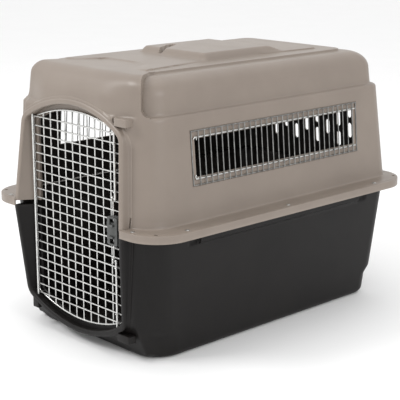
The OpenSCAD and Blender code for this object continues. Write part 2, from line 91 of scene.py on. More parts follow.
def grid_faces(rows, cols, closed):
    """Quads of a rows x cols sheet of points; closed joins the last column to the first."""
    last = cols if closed else cols - 1
    return [
        (i * cols + j, i * cols + (j + 1) % cols, (i + 1) * cols + (j + 1) % cols, (i + 1) * cols + j)
        for i in range(rows - 1)
        for j in range(last)
    ]


# ---------- materials ----------


def node(tree, kind, **inputs):
    made = tree.nodes.new(kind)
    for name, value in inputs.items():
        key = name.replace("_", " ")
        if key in made.inputs:
            made.inputs[key].default_value = value
    return made


def ramp(tree, source, low, high, at=(0.35, 0.65)):
    made = tree.nodes.new("ShaderNodeValToRGB")
    made.color_ramp.elements[0].position, made.color_ramp.elements[1].position = at
    made.color_ramp.elements[0].color = (*low, 1)
    made.color_ramp.elements[1].color = (*high, 1)
    tree.links.new(source, made.inputs["Fac"])
    return made.outputs["Color"]


def to_range(tree, source, low, high):
    made = tree.nodes.new("ShaderNodeMapRange")
    made.inputs["To Min"].default_value = low
    made.inputs["To Max"].default_value = high
    tree.links.new(source, made.inputs["Value"])
    return made.outputs["Result"]


def noise(tree, place, scale, detail=4.0, stretch=None):
    made = node(tree, "ShaderNodeTexNoise", Scale=scale, Detail=detail, Roughness=0.55)
    if stretch:
        mapping = tree.nodes.new("ShaderNodeMapping")
        mapping.inputs["Scale"].default_value = stretch
        tree.links.new(place, mapping.inputs["Vector"])
        place = mapping.outputs["Vector"]
    tree.links.new(place, made.inputs["Vector"])
    return made.outputs["Fac"]


def plastic(name, low, high, rough, grain, scuff, gloss=0.5):
    """Moulded plastic: fine leather-like grain, faint flow marks and lighter rubbed edges."""
    mat = bpy.data.materials.new(name)
    mat.use_nodes = True
    tree = mat.node_tree
    shader = tree.nodes["Principled BSDF"]
    place = tree.nodes.new("ShaderNodeTexCoord").outputs["Object"]
    shader.inputs["Specular IOR Level"].default_value = gloss
    base = ramp(tree, noise(tree, place, 6.0, 5.0), low, high)
    rubbed = tree.nodes.new("ShaderNodeMix")
    rubbed.data_type = "RGBA"
    pointiness = tree.nodes.new("ShaderNodeNewGeometry").outputs["Pointiness"]
    edges = ramp(tree, pointiness, (0, 0, 0), (1, 1, 1), (0.52, 0.62))
    specks = tree.nodes.new("ShaderNodeMath")
    specks.operation = "MULTIPLY"
    tree.links.new(edges, specks.inputs[0])
    tree.links.new(to_range(tree, noise(tree, place, 45.0, 6.0), 0.0, 0.9), specks.inputs[1])
    tree.links.new(specks.outputs[0], rubbed.inputs["Factor"])
    tree.links.new(base, rubbed.inputs["A"])
    rubbed.inputs["B"].default_value = (*scuff, 1)
    tree.links.new(rubbed.outputs["Result"], shader.inputs["Base Color"])
    tree.links.new(
        to_range(tree, noise(tree, place, 14.0, 6.0), rough - 0.05, rough + 0.07), shader.inputs["Roughness"]
    )
    cells = node(tree, "ShaderNodeTexVoronoi", Scale=grain)
    tree.links.new(place, cells.inputs["Vector"])
    mixed = tree.nodes.new("ShaderNodeMath")
    mixed.operation = "ADD"
    tree.links.new(cells.outputs["Distance"], mixed.inputs[0])
    tree.links.new(noise(tree, place, grain * 0.6, 3.0), mixed.inputs[1])
    bump = node(tree, "ShaderNodeBump", Strength=0.10, Distance=0.0003)
    tree.links.new(mixed.outputs[0], bump.inputs["Height"])
    tree.links.new(bump.outputs["Normal"], shader.inputs["Normal"])
    return mat


def metal(name, low, high, rough, stretch=(1, 1, 1), scale=300.0):
    """Plated wire: bright metal with drawn streaks, spangle and dulled patches."""
    mat = bpy.data.materials.new(name)
    mat.use_nodes = True
    tree = mat.node_tree
    shader = tree.nodes["Principled BSDF"]
    place = tree.nodes.new("ShaderNodeTexCoord").outputs["Object"]
    tree.links.new(ramp(tree, noise(tree, place, 60.0, 5.0), low, high), shader.inputs["Base Color"])
    shader.inputs["Metallic"].default_value = 1.0
    tree.links.new(
        to_range(tree, noise(tree, place, 110.0, 5.0), rough - 0.07, rough + 0.1), shader.inputs["Roughness"]
    )
    bump = node(tree, "ShaderNodeBump", Strength=0.12, Distance=0.0002)
    tree.links.new(noise(tree, place, scale, 3.0, stretch), bump.inputs["Height"])
    tree.links.new(bump.outputs["Normal"], shader.inputs["Normal"])
    return mat


TAUPE = plastic(
    "taupe_plastic", (0.205, 0.168, 0.140), (0.225, 0.186, 0.155),
    0.38, 900.0, (0.31, 0.265, 0.225),
)
CHARCOAL = plastic(
    "charcoal_plastic", (0.0048, 0.0040, 0.0038), (0.0072, 0.0061, 0.0057),
    0.44, 900.0, (0.024, 0.021, 0.019), 0.22,
)
# Near-black colour for the inside faces of both shells: painted shade for the dark interior; the real inside
# is the shells' own plastic.
INSIDE_SHADE = plastic(
    "painted_shade_inside_plastic", (0.020, 0.017, 0.015), (0.028, 0.024, 0.021),
    0.50, 900.0, (0.05, 0.045, 0.04), 0.3,
)
# Near-white rib colour: painted highlight for the bright line of light at the inner seam; the real rib is
# shell plastic.
SEAM_HIGHLIGHT = plastic("painted_highlight_rib_plastic", (0.66, 0.63, 0.59), (0.78, 0.75, 0.71), 0.35, 900.0, (0.85, 0.82, 0.78))
LATCH = plastic(
    "latch_plastic", (0.024, 0.027, 0.024), (0.033, 0.037, 0.033),
    0.48, 1400.0, (0.12, 0.12, 0.12),
)
BLACK = plastic("black_plastic", (0.012, 0.012, 0.012), (0.02, 0.02, 0.02), 0.42, 1400.0, (0.06, 0.06, 0.06))
WIRE = metal("plated_wire", (0.56, 0.56, 0.55), (0.72, 0.72, 0.70), 0.27)
DULL_WIRE = metal("dull_wire", (0.20, 0.20, 0.195), (0.34, 0.34, 0.33), 0.34)
STEEL = metal("zinc_steel", (0.34, 0.34, 0.33), (0.48, 0.47, 0.45), 0.34)
SPRING = metal("spring_steel", (0.50, 0.50, 0.50), (0.62, 0.62, 0.62), 0.25)

SLOTS = {
    "flange_bolts": STEEL, "flange_washers": STEEL, "flange_nuts": BLACK,
    "latch_back_cover": LATCH, "latch_front_cover": LATCH,
    "upper_squeeze_tab": LATCH, "lower_squeeze_tab": LATCH,
    "upper_latch_spring": SPRING, "lower_latch_spring": SPRING,
    "top_shell": TAUPE, "bottom_shell": CHARCOAL,
    "right_grille_frame": DULL_WIRE, "left_grille_frame": DULL_WIRE,
    "right_grille_bars": DULL_WIRE, "left_grille_bars": DULL_WIRE,
}
for name, obj in nodes.items():
    obj.data.materials.clear()
    obj.data.materials.append(SLOTS.get(name, WIRE))
    obj.data.shade_smooth()
    obj.data.set_sharp_from_angle(angle=math.radians(35))


# ---------- rounded-rectangle rings ----------

WINDOW_Y, WINDOW_Z = 7.0, 527.0
OPEN_Y, OPEN_Z = 311.0, 48.8
REBATE_Y, REBATE_Z = 326.0, 71.7
GRIP_Y = (-300.0, 335.0)

X_STOPS = np.linspace(-180, 180, 91)
side_stops = sorted(
    {WINDOW_Y + s * d for s in (-1, 1) for d in (OPEN_Y, REBATE_Y, REBATE_Y + 0.8)}
    | {GRIP_Y[0] - 1, GRIP_Y[0], GRIP_Y[1], GRIP_Y[1] + 1, -350.0, 350.0, -337.0, 346.0}
)
Y_STOPS = [side_stops[0]]
for stop in side_stops[1:]:
    Y_STOPS += list(np.linspace(Y_STOPS[-1], stop, max(1, round((stop - Y_STOPS[-1]) / 5.5)) + 1)[1:])
Y_STOPS = np.array(Y_STOPS)
ARC, MID = 14, 12
NX = 2 * ARC - 1 + len(X_STOPS) + 2 * MID
NY = 2 * ARC - 1 + len(Y_STOPS) + 2 * MID
RING = 2 * (NX + NY)


def straight(fixed, start, end):
    fixed = fixed * np.where(fixed < 0, min(1.0, (3 - start) / fixed[0]), min(1.0, (end - 3) / fixed[-1]))
    return np.concatenate(
        [np.linspace(-start, fixed[0], MID, endpoint=False), fixed, np.linspace(fixed[-1], end, MID + 1)[1:]]
    )


def outline(hx, hy, r, front_r):
    """Rounded rectangle from the middle of the front left corner, anticlockwise from above."""
    half = np.linspace(0, math.pi / 4, ARC + 1)
    rows = []
    for turn, stops, across, reach, r1, r2 in (
        (-math.pi / 2, X_STOPS, hx, hy, front_r, front_r), (0.0, Y_STOPS, hy, hx, front_r, r),
        (math.pi / 2, X_STOPS, hx, hy, r, r), (math.pi, -Y_STOPS[::-1], hy, hx, r, front_r),
    ):
        along = straight(stops, across - r1, across - r2)
        a1, a2 = half[:-1] - math.pi / 4, half[1:-1]
        lateral = np.concatenate([r1 - across + r1 * np.sin(a1), along, across - r2 + r2 * np.sin(a2)])
        out = np.concatenate(
            [reach - r1 + r1 * np.cos(a1), np.full(len(along), float(reach)), reach - r2 + r2 * np.cos(a2)]
        )
        c, s = math.cos(turn), math.sin(turn)
        rows.append(np.stack([out * c - lateral * s, out * s + lateral * c], 1))
    return np.concatenate(rows)


def corner_back(px, half_x, radius):
    """How far the rounded front corner has turned back at px."""
    over = np.clip(np.abs(px) - (half_x - radius), 0, radius)
    return radius - np.sqrt(radius**2 - over**2)


def cap(ring_points, height, warp):
    """Fills a ring with a sheet of points; height(x, y) gives its level."""
    front, right = ring_points[: NX + 1], ring_points[NX : NX + NY + 1]
    back = ring_points[NX + NY : 2 * NX + NY + 1][::-1]
    left = np.concatenate([ring_points[2 * NX + NY :], ring_points[:1]])[::-1]
    u = (np.arange(NX + 1) / NX)[None, :, None]
    v = (np.arange(NY + 1) / NY)[:, None, None]
    sheet = (
        (1 - v) * front[None] + v * back[None] + (1 - u) * left[:, None] + u * right[:, None]
        - (1 - u) * (1 - v) * front[0] - u * (1 - v) * front[-1] - (1 - u) * v * back[0] - u * v * back[-1]
    )
    inner = sheet[1:-1, 1:-1].copy()
    if warp:
        inner[..., 0], inner[..., 1] = warp(inner[..., 0], inner[..., 1])
    inner[..., 2] = height(inner[..., 0], inner[..., 1])
    return inner


def loft(rings, height, warp=None):
    """Points and faces of stacked rings closed by a cap on the last one."""
    points = np.concatenate(rings)
    faces = grid_faces(len(rings), RING, True)
    base = (len(rings) - 1) * RING
    inner = cap(rings[-1], height, warp)
    start = len(points)
    points = np.concatenate([points, inner.reshape(-1, 3)])

    def at(i, j):
        if i == 0:
            return base + j
        if i == NY:
            return base + 2 * NX + NY - j
        if j == 0:
            return base + (RING - i) % RING
        if j == NX:
            return base + NX + i
        return start + (i - 1) * (NX - 1) + j - 1

    faces += [(at(i, j), at(i, j + 1), at(i + 1, j + 1), at(i + 1, j)) for i in range(NY) for j in range(NX)]
    return points, faces


# ---------- the door surround's outlines, in X and Z ----------


def arch(half_x, lean, radius, reach, fillet, offset=0.0, count=(30, 12, 60)):
    """Upper half of an arched opening from the right at mid height to the left, moved out by offset."""
    tilt = math.atan(lean)
    side = np.array([math.cos(tilt), math.sin(tilt)])
    mid = np.array([0.0, reach - radius])
    gap = half_x * math.cos(tilt) - fillet
    along = np.array([-side[1], side[0]])
    foot = side * gap - mid
    b = foot @ along
    centre = side * gap + along * (-b + math.sqrt(b * b - foot @ foot + (radius - fillet) ** 2))
    a0 = tilt
    to = centre - mid
    a1 = math.atan2(to[1], to[0])
    start = centre + side * fillet
    low = np.array([half_x, 0.0])
    jamb = low + (start - low) * np.linspace(0, 1, count[0])[:, None] + side * offset
    bend = np.linspace(a0, a1, count[1] + 1)[1:]
    turn = centre + (fillet + offset) * np.stack([np.cos(bend), np.sin(bend)], 1)
    sweep = np.linspace(a1, math.pi - a1, count[2] + 1)[1:]
    crown = mid + (radius + offset) * np.stack([np.cos(sweep), np.sin(sweep)], 1)
    half = np.concatenate([jamb, turn])
    return np.concatenate([half, crown[:-1], half[::-1] * [-1, 1]])


def lip(offset):
    return arch(220.0, 0.0766, 370.0, 304.0, 28.0, offset)


def recess(offset):
    return arch(194.5, 0.0, 369.0, 303.0, 5.0, offset)


def stop_line(offset):
    return arch(177.0, 0.0, 372.0, 286.0, 14.0, offset)


def collar_face(z):
    return COLLAR_Y + 0.0850 * np.abs(z - COLLAR_MID_Z)


def crown_reach(x):
    """Height above the door's middle of the lip's arch at x."""
    return 304.0 - 370.0 + np.sqrt(np.maximum(370.0**2 - np.minimum(np.abs(x), 330.0) ** 2, 0))


# ---------- top shell ----------


def wall_in(z):
    return DRAFT * (z - FLANGE_Z)


def front_swell(x, z, y):
    """The front wall swells out to the collar's face over the arch and round the latch sockets."""
    ax = np.abs(x)
    wide = 1 - smooth(110, 228, ax)
    level = smooth(585, 604, z) * (1 - smooth(676, 744, z))
    y = y + (collar_face(np.minimum(z, 705)) + 1.6 - y) * wide * level
    pad = 1 - np.where(x > 0, smooth(212, 236, x), smooth(226, 246, -x))
    pad = pad * smooth(560, 592, z) * (1 - smooth(631, 643, z))
    beside = np.where(x > 0, smooth(160, 170, x), smooth(200, 214, -x))
    return np.minimum(y, y + (collar_face(z) + 1.2 + 12.0 * beside - y) * pad)


SHOULDER_Z = 640.0
INSET = 12.5
DECK_CUT = 111.5
paths = []
for t, z in ((0.0, LIP_Z), (0.0, LIP_Z + 8), (0.0, FLANGE_Z - 3.4), (0.004, FLANGE_Z - 1.0),
             (0.018, FLANGE_Z - 0.4), (0.04, FLANGE_Z - 0.2), (0.17, FLANGE_Z - 0.2), (0.19, FLANGE_Z + 0.4),
             (0.22, FLANGE_Z + 0.6), (0.5, FLANGE_Z + 0.6), (0.86, FLANGE_Z + 0.8), (0.93, FLANGE_Z + 1.6),
             (0.97, FLANGE_Z + 3.2), (0.99, FLANGE_Z + 6.0), (1.0, FLANGE_Z + 11.0)):
    paths.append((t, 0.0, z, 0.0, z, 0.0))
levels = [FLANGE_Z + 17]
for stop in (WINDOW_Z - REBATE_Z - 0.8, WINDOW_Z - REBATE_Z, WINDOW_Z - OPEN_Z, WINDOW_Z + OPEN_Z,
             WINDOW_Z + REBATE_Z, WINDOW_Z + REBATE_Z + 0.8, SHOULDER_Z - 10):
    levels += list(np.linspace(levels[-1], stop, max(1, round((stop - levels[-1]) / 6.5)) + 1)[1:])
paths += [(1.0, wall_in(z), z, wall_in(z), z, 0.0) for z in levels]
for share, dz in ((0.02, -7.0), (0.09, -4.2), (0.2, -2.3), (0.36, -0.9), (0.55, 0.0), (0.75, 0.9),
                  (0.9, 2.2), (0.97, 4.2), (1.0, 8.0)):
    z = SHOULDER_Z + dz
    paths.append((1.0, wall_in(z), z, wall_in(z) + INSET * share, z, dz))
for z in np.linspace(SHOULDER_Z + 8, 684, 8)[1:]:
    paths.append((1.0, wall_in(z), z, wall_in(z) + INSET, z, z - SHOULDER_Z))
full_turn = [(wall_in(z), z) for z in np.linspace(684, 707, 3)[1:]]
full_turn += [
    (wall_in(707) + 34 * (1 - math.cos(a)), 707 + (ROOF_Z - 707) * math.sin(a))
    for a in np.linspace(0, math.pi / 2, 8)[1:]
]
full_turn += [(cut_full, ROOF_Z) for cut_full in (76.0, 88.0, 100.0)]
for a, (cut_full, z_full) in zip(np.linspace(0, math.pi / 2, 13)[1:], full_turn):
    turned = (wall_in(684) + INSET + 50 * (1 - math.cos(a)), 684 + 50.5 * math.sin(a))
    paths.append((1.0, cut_full, z_full, *turned, 44 + 50 * a))
deck = ((102.0, -6.8), (105.5, -6.3), (107.0, -5.0), (107.9, -2.2), (108.8, -0.7), (DECK_CUT, 0.0))
for cut_in, dz in deck:
    paths.append((1.0, cut_in, ROOF_Z, cut_in, ROOF_Z + dz, 122 + cut_in - 90))
PANEL_TOP, LOW_R, HIGH_R = 140.0, 24.0, 52.0

reference = outline(BODY_X - 25, BODY_Y - 25, BODY_R, FRONT_R)
steps_along = np.linalg.norm(np.roll(reference, -1, 0) - reference, axis=1)


def past(start, forward):
    """Signed length along the outline past a front corner's middle, towards the rear."""
    out = np.full(RING, 1e3)
    out[start] = 0.0
    ahead, behind = 0.0, 0.0
    for k in range(1, 66):
        i, j = (start + k) % RING, (start - k) % RING
        ahead += steps_along[(i - 1) % RING]
        behind += steps_along[j]
        out[i], out[j] = (ahead, -behind) if forward else (-ahead, behind)
    return out


right_past, left_past = past(NX, True), past(0, False) + 27.0
PANEL_START = -18.0
REACH = np.arange(-26, 27)
in_panel = np.arange(RING) > NX
corners = []
for middle, way, lengths in ((NX, 1, right_past), (0, -1, left_past)):
    index = (middle + way * REACH) % RING
    edge_at = int(np.argmin(np.abs(lengths[index] - PANEL_START)))
    corners.append((middle, way, index, lengths[index], edge_at))
    in_panel[index] = np.arange(len(index)) > edge_at


def drawn_to_edge(ring, start):
    """Slides a ring's points along it so that two of them bound the panel's edge at start."""
    out = ring.copy()
    for middle, way, index, lengths, k in corners:
        targets = [lengths[0], start - 1.6, start + 1.6, lengths[-1]]
        moved = np.interp(lengths, lengths[[0, k, k + 1, -1]], targets)
        place = np.interp(moved, lengths, REACH)
        low = np.floor(place).astype(int)
        share = (place - low)[:, None]
        before, after = (ring[(middle + way * step) % RING] for step in (low, low + 1))
        out[index] = before * (1 - share) + after * share
    return out


rings = []
for t, cut_full, z_full, cut_in, z_in, p in paths:
    hx, hy = HALF_W + (BODY_X - HALF_W) * t, HALF_L + (BODY_Y - HALF_L) * t
    r, front_r = 100.0 + (BODY_R - 100.0) * t, 100.0 + (FRONT_R - 100.0) * t
    low, high = max(LOW_R - max(p, 0), 0), max(p - (PANEL_TOP - HIGH_R), 0)
    start = PANEL_START + LOW_R - math.sqrt(max(LOW_R**2 - low**2, 0))
    start += HIGH_R - math.sqrt(max(HIGH_R**2 - min(high, HIGH_R) ** 2, 0))
    level = []
    for cut_by, z in ((cut_full, z_full), (cut_in, z_in)):
        rear = r - 0.2 * cut_by
        fore = front_r - 0.2 * cut_by - (FRONT_R - BODY_R) * max(cut_by - 40, 0) / (DECK_CUT - 40)
        level.append(np.column_stack([outline(hx - cut_by, hy - cut_by, rear, fore), np.full(RING, z)]))
    full, inset = (drawn_to_edge(ring, start) for ring in level)
    rings.append(np.where(in_panel[:, None], inset, full))

BLOCK = (-138.0, 182.0, 138.0)
PLATEAU_FRONT = -283.0
DECK_R = BODY_R - 0.2 * DECK_CUT
COLUMNS = X_STOPS * (BODY_X - DECK_CUT - DECK_R - 3) / X_STOPS[-1]
ROWS = Y_STOPS * (BODY_Y - DECK_CUT - DECK_R - 3) / Y_STOPS[-1]


def plateau_half(y):
    return 134 + 0.15 * np.maximum(-143 - y, 0) + 0.05 * np.maximum(y - 60, 0)


def plateau_front(x):
    return PLATEAU_FRONT - 0.95 * np.maximum(np.abs(x) - 84, 0)


def drawn_to(value, knots, targets):
    """Moves grid lines at the knots onto the targets, evenly in between."""
    span = np.clip(np.searchsorted(knots, value, side="right") - 1, 0, len(knots) - 2)
    low, high = knots[span], knots[span + 1]
    to = np.broadcast_arrays(*targets, value)[:-1]
    start, end = np.choose(span, to[:-1]), np.choose(span, to[1:])
    moved = start + (end - start) * (value - low) / (high - low)
    return np.where((value < knots[0]) | (value > knots[-1]), value, moved)


def roof_warp(x, y):
    """Draws the roof's grid lines onto the plateau's edges so that they stay crisp."""
    i = int(np.argmin(np.abs(COLUMNS - 132)))
    ax = drawn_to(
        np.abs(x), np.array([0.0, COLUMNS[i], COLUMNS[i + 1], 188.0]),
        (0 * y, plateau_half(y), plateau_half(y) + 2.2, 0 * y + 188.0),
    )
    ax = np.abs(x) + (ax - np.abs(x)) * smooth(-350, -325, y) * (1 - smooth(320, 340, y))
    j = int(np.argmin(np.abs(ROWS - PLATEAU_FRONT)))
    edge = np.maximum(plateau_front(x), -312.0)
    y = drawn_to(
        y, np.array([-345.0, ROWS[j - 2], ROWS[j - 1], ROWS[j], -230.0]),
        (0 * x - 345.0, edge - 6.6, edge - 3.4, edge, 0 * x - 230.0),
    )
    return np.sign(x) * ax, y


def roof_height(x, y):
    """Level of the roof: a low plateau, the moulded handle block and its finger pocket."""
    ax = np.abs(x)
    ahead = y - plateau_front(x)
    soft = 3.4 + 40 * smooth(24, 80, x) + 40 * smooth(98, 130, -x)
    sides = smooth(-2.4, 0.2, plateau_half(y) - ax)
    ends = smooth(-soft, 0.0, ahead) * smooth(-3.4, 0.4, 302 - y) * smooth(0, 12, y + BODY_Y - DECK_CUT)
    z = ROOF_Z + 3.6 * sides * ends
    groove = 2.8 * (1 - smooth(0.4, 2.6, np.abs(ahead + 3.4)))
    z = z - groove * (1 - smooth(20, 44, x)) * (1 - smooth(96, 112, -x))
    run = np.minimum(np.minimum((BLOCK[2] - ax) / 20, (y - BLOCK[0]) / 21), (BLOCK[1] - y) / 55)
    corner = np.hypot(np.maximum(ax - (BLOCK[2] - 26), 0), np.maximum(BLOCK[0] + 26 - y, 0))
    run = np.minimum(run, (26 - corner) / 20)
    z = z + (HEIGHT - 0.4 - ROOF_Z - 3.6) * smooth(-0.04, 1.04, run)
    share = np.clip(((x + 42) * -42 + (y + 122) * 74) / (42**2 + 74**2), 0, 1)
    off = np.hypot(x + 42 + 42 * share, y + 122 - 74 * share)
    return z - 13 * smooth(0, 4.0, 9.5 - off)


points, faces = loft(rings, roof_height, roof_warp)
front = (points[:, 1] < -385) & (points[:, 2] > 559)
points[front, 1] = front_swell(points[front, 0], points[front, 2], points[front, 1])

side = np.abs(points[:, 0]) > 255
in_rebate = (
    side
    & (np.abs(points[:, 1] - WINDOW_Y) < REBATE_Y + 0.1)
    & (np.abs(points[:, 2] - WINDOW_Z) < REBATE_Z + 0.1)
)
points[in_rebate, 0] -= np.sign(points[in_rebate, 0]) * 1.2


def keep_top(face):
    mid = points[list(face)].mean(0)
    if abs(mid[0]) > 255 and abs(mid[1] - WINDOW_Y) < OPEN_Y and abs(mid[2] - WINDOW_Z) < OPEN_Z:
        return False
    door = mid[1] < -430 and abs(mid[0]) < 226 - 0.0766 * (mid[2] - 345)
    return not (door and 372 < mid[2] < COLLAR_MID_Z + crown_reach(mid[0]) + 6 or door and mid[2] <= 372)


def thicken(obj):
    solid = obj.modifiers.new("wall", "SOLIDIFY")
    solid.thickness = WALL * MM
    solid.offset = -1.0
    # The inner faces get the near-black inside material, which is painted shade.
    obj.data.materials.append(INSIDE_SHADE)
    solid.material_offset = 1


def drop_loose(points, faces):
    used = sorted({i for f in faces for i in f})
    place = {old: new for new, old in enumerate(used)}
    return points[used], [tuple(place[i] for i in f) for f in faces]


pts, fcs = drop_loose(points, [f for f in faces if keep_top(f)])
top_shell = new_object("top_shell_moulding", pts, fcs, "root", TAUPE)
thicken(top_shell)


def prism(outline_points, axis, low, high):
    """Closed prism of a 2-D outline, run along axis from low to high."""
    n = len(outline_points)
    rows = []
    for level in (low, high):
        for a, b in outline_points:
            rows.append({"x": (level, a, b), "y": (a, level, b), "z": (a, b, level)}[axis])
    quads = [(i, (i + 1) % n, n + (i + 1) % n, n + i) for i in range(n)]
    quads += [tuple(range(n))[::-1], tuple(range(n, 2 * n))]
    return rows, [q[::-1] for q in quads] if axis == "y" else quads


def cutter(parts):
    """One hidden object from several closed prisms."""
    rows, quads = [], []
    for p, f in parts:
        quads += [tuple(i + len(rows) for i in q) for q in f]
        rows += p
    mesh = bpy.data.meshes.new("cutter")
    mesh.from_pydata([tuple(c * MM for c in p) for p in rows], [], quads)
    tool = bpy.data.objects.new("cutter", mesh)
    bpy.context.scene.collection.objects.link(tool)
    return tool


def cut(obj, parts):
    tool = cutter(parts)
    boolean = obj.modifiers.new("holes", "BOOLEAN")
    boolean.operation = "DIFFERENCE"
    boolean.solver = "EXACT"
    boolean.object = tool
    bake_modifiers(obj)
    bpy.data.objects.remove(tool)


def stadium(x, z, width, height):
    a = np.linspace(0, math.pi, 9)
    r, h = width / 2, height / 2 - width / 2
    upper = [(x + r * math.cos(t), z + h + r * math.sin(t)) for t in a]
    lower = [(x - r * math.cos(t), z - h - r * math.sin(t)) for t in a]
    return upper + lower


def circle(x, y, r):
    return [(x + r * math.cos(t), y + r * math.sin(t)) for t in np.linspace(0, 2 * math.pi, 25)[:-1]]


VENT_COLUMNS, VENT_ROWS, VENT_PITCH_X, VENT_PITCH_Z = 8, 3, 43.7, 62
VENT_WIDTH, VENT_HEIGHT, VENT_LOW_Z = 15, 46, 448
TIE_X, TIE_Y, TIE_R = 322, 470, 5
ROD_R, BORE_R = 3.0, 3.6

vents = []
for i in range(VENT_COLUMNS):
    for j in range(VENT_ROWS):
        z = VENT_LOW_Z + j * VENT_PITCH_Z + (i % 2) * VENT_PITCH_Z // 2
        x = (i - (VENT_COLUMNS - 1) / 2) * VENT_PITCH_X
        vents.append(prism(stadium(x, z, VENT_WIDTH, VENT_HEIGHT), "y", 400, 520))
ties = [prism(circle(sx * TIE_X, sy * TIE_Y, TIE_R), "z", 330, 380) for sx in (-1, 1) for sy in (-1, 1)]
rod_low, rod_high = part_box("upper_latch_rod")
rod_outline = circle(rod_high[0] / MM - ROD_R, (rod_low[1] + rod_high[1]) / 2 / MM, BORE_R)
upper_bore = [prism(rod_outline, "z", 590, 636)]
lower_bore = [prism(rod_outline, "z", 54, 100)]
slot = [prism([(233, 366), (236.5, 366), (236.5, 392), (233, 392)], "y", -482, -455)]
cut(top_shell, vents + ties + upper_bore + slot)


# ---------- bottom shell ----------

ring_specs = []
inner_w, inner_l = HALF_W - 5.0, HALF_L - 5.0
for t, z in ((0.0, SEAM_Z - 0.2), (0.0, SEAM_Z - 3.8), (0.5, SEAM_Z - 4), (0.9, SEAM_Z - 4.2),
             (0.97, SEAM_Z - 6), (1.0, SEAM_Z - 11)):
    ring_specs.append((t, z))
low_levels = [SEAM_Z - 11]
for stop in (309.0, 303.0, 301.0, 92.0, 86.0):
    steps = max(1, round((low_levels[-1] - stop) / 6.5))
    low_levels += list(np.linspace(low_levels[-1], stop, steps + 1)[1:])
low_levels += [83.0, 80.0, 76.0, 71.0, 66.0, 62.0, 57.0, 48.0, 39.0, 30.0, 22.0]
ring_specs += [(1.0, z) for z in low_levels[1:]]
FOOT_R = 20.0


def side_lean(z):
    return 0.0850 * (SEAM_Z - 4 - z)


rings = []
for t, z in ring_specs:
    hx, hy = inner_w + (BODY_X - 1 - inner_w) * t, inner_l + (BODY_Y - inner_l) * t
    r, front_r = 95.0 + (BODY_R - 95.0) * t, 95.0 + (FRONT_R - 95.0) * t
    lean = max(side_lean(z), 0.0) if t >= 1 else 0.0
    end_step = 18.0 * float(1 - smooth(58, 88, z)) if t >= 1 else 0.0
    rings.append(np.column_stack([outline(hx - lean, hy - lean - end_step, r, front_r), np.full(RING, z)]))
lean = side_lean(FOOT_R)
for a in np.linspace(0, math.pi / 2, 8)[1:]:
    cut_in, drop = FOOT_R * (1 - math.cos(a)), FOOT_R * math.sin(a)
    radii = BODY_R - 0.4 * cut_in, FRONT_R - 0.4 * cut_in
    flat = outline(BODY_X - 1 - lean - cut_in, BODY_Y - lean - 18 - cut_in, *radii)
    rings.append(np.column_stack([flat, np.full(RING, FOOT_R - drop + 0.3)]))


def floor_height(x, y):
    """Underside, with a shallow moulded recess inside the standing rim."""
    rim = np.minimum(216 - np.abs(x), 372 - np.abs(y))
    return 0.3 + 5.0 * smooth(0, 10, rim)


points, faces = loft(rings, floor_height)
x, y, z = points.T
ax = np.abs(x)
front = (y < -395) & (z < SEAM_Z - 9) & (z > 9)
near = 1 - smooth(232, 258, ax)
face_y = -474.0 + 0 * z
lip_low = COLLAR_MID_Z - crown_reach(ax) - 12
share = np.clip((lip_low + 18 - z) / np.maximum(lip_low + 8, 1), 0, 1)
face_y = np.where(z < lip_low + 18, -476.0 + 48.0 * share**1.1, face_y)
near = near * smooth(9, 16, z)
points[front, 1] = (y + (np.minimum(face_y, y) - y) * near)[front]
grip = (ax > 240) & (z < SEAM_Z - 9) & (z > 300.9) & (y > GRIP_Y[0] - 0.1) & (y < GRIP_Y[1] + 0.1)
points[grip, 0] += np.sign(x[grip]) * 7.0 * smooth(301, 309, z[grip])
for low, high in ((-337.0, GRIP_Y[0] - 1), (GRIP_Y[1] + 1, 371.0)):
    pocket = (ax > 240) & (y > low) & (y < high) & (z > 300) & (z < 325)
    points[pocket, 0] -= np.sign(x[pocket]) * 5.0 * smooth(0, 10, np.minimum(z - 300, 325 - z))[pocket]


def keep_bottom(face):
    mid = points[list(face)].mean(0)
    door = mid[1] < -400 and abs(mid[0]) < 226 - 0.0766 * abs(mid[2] - 345)
    return not (door and mid[2] > COLLAR_MID_Z - crown_reach(mid[0]) - 6)


pts, fcs = drop_loose(points, [f[::-1] for f in faces if keep_bottom(f)])
bottom_shell = new_object("bottom_shell_moulding", pts, fcs, "root", CHARCOAL)
thicken(bottom_shell)
cut(bottom_shell, ties + lower_bore)


# ---------- door surround ----------


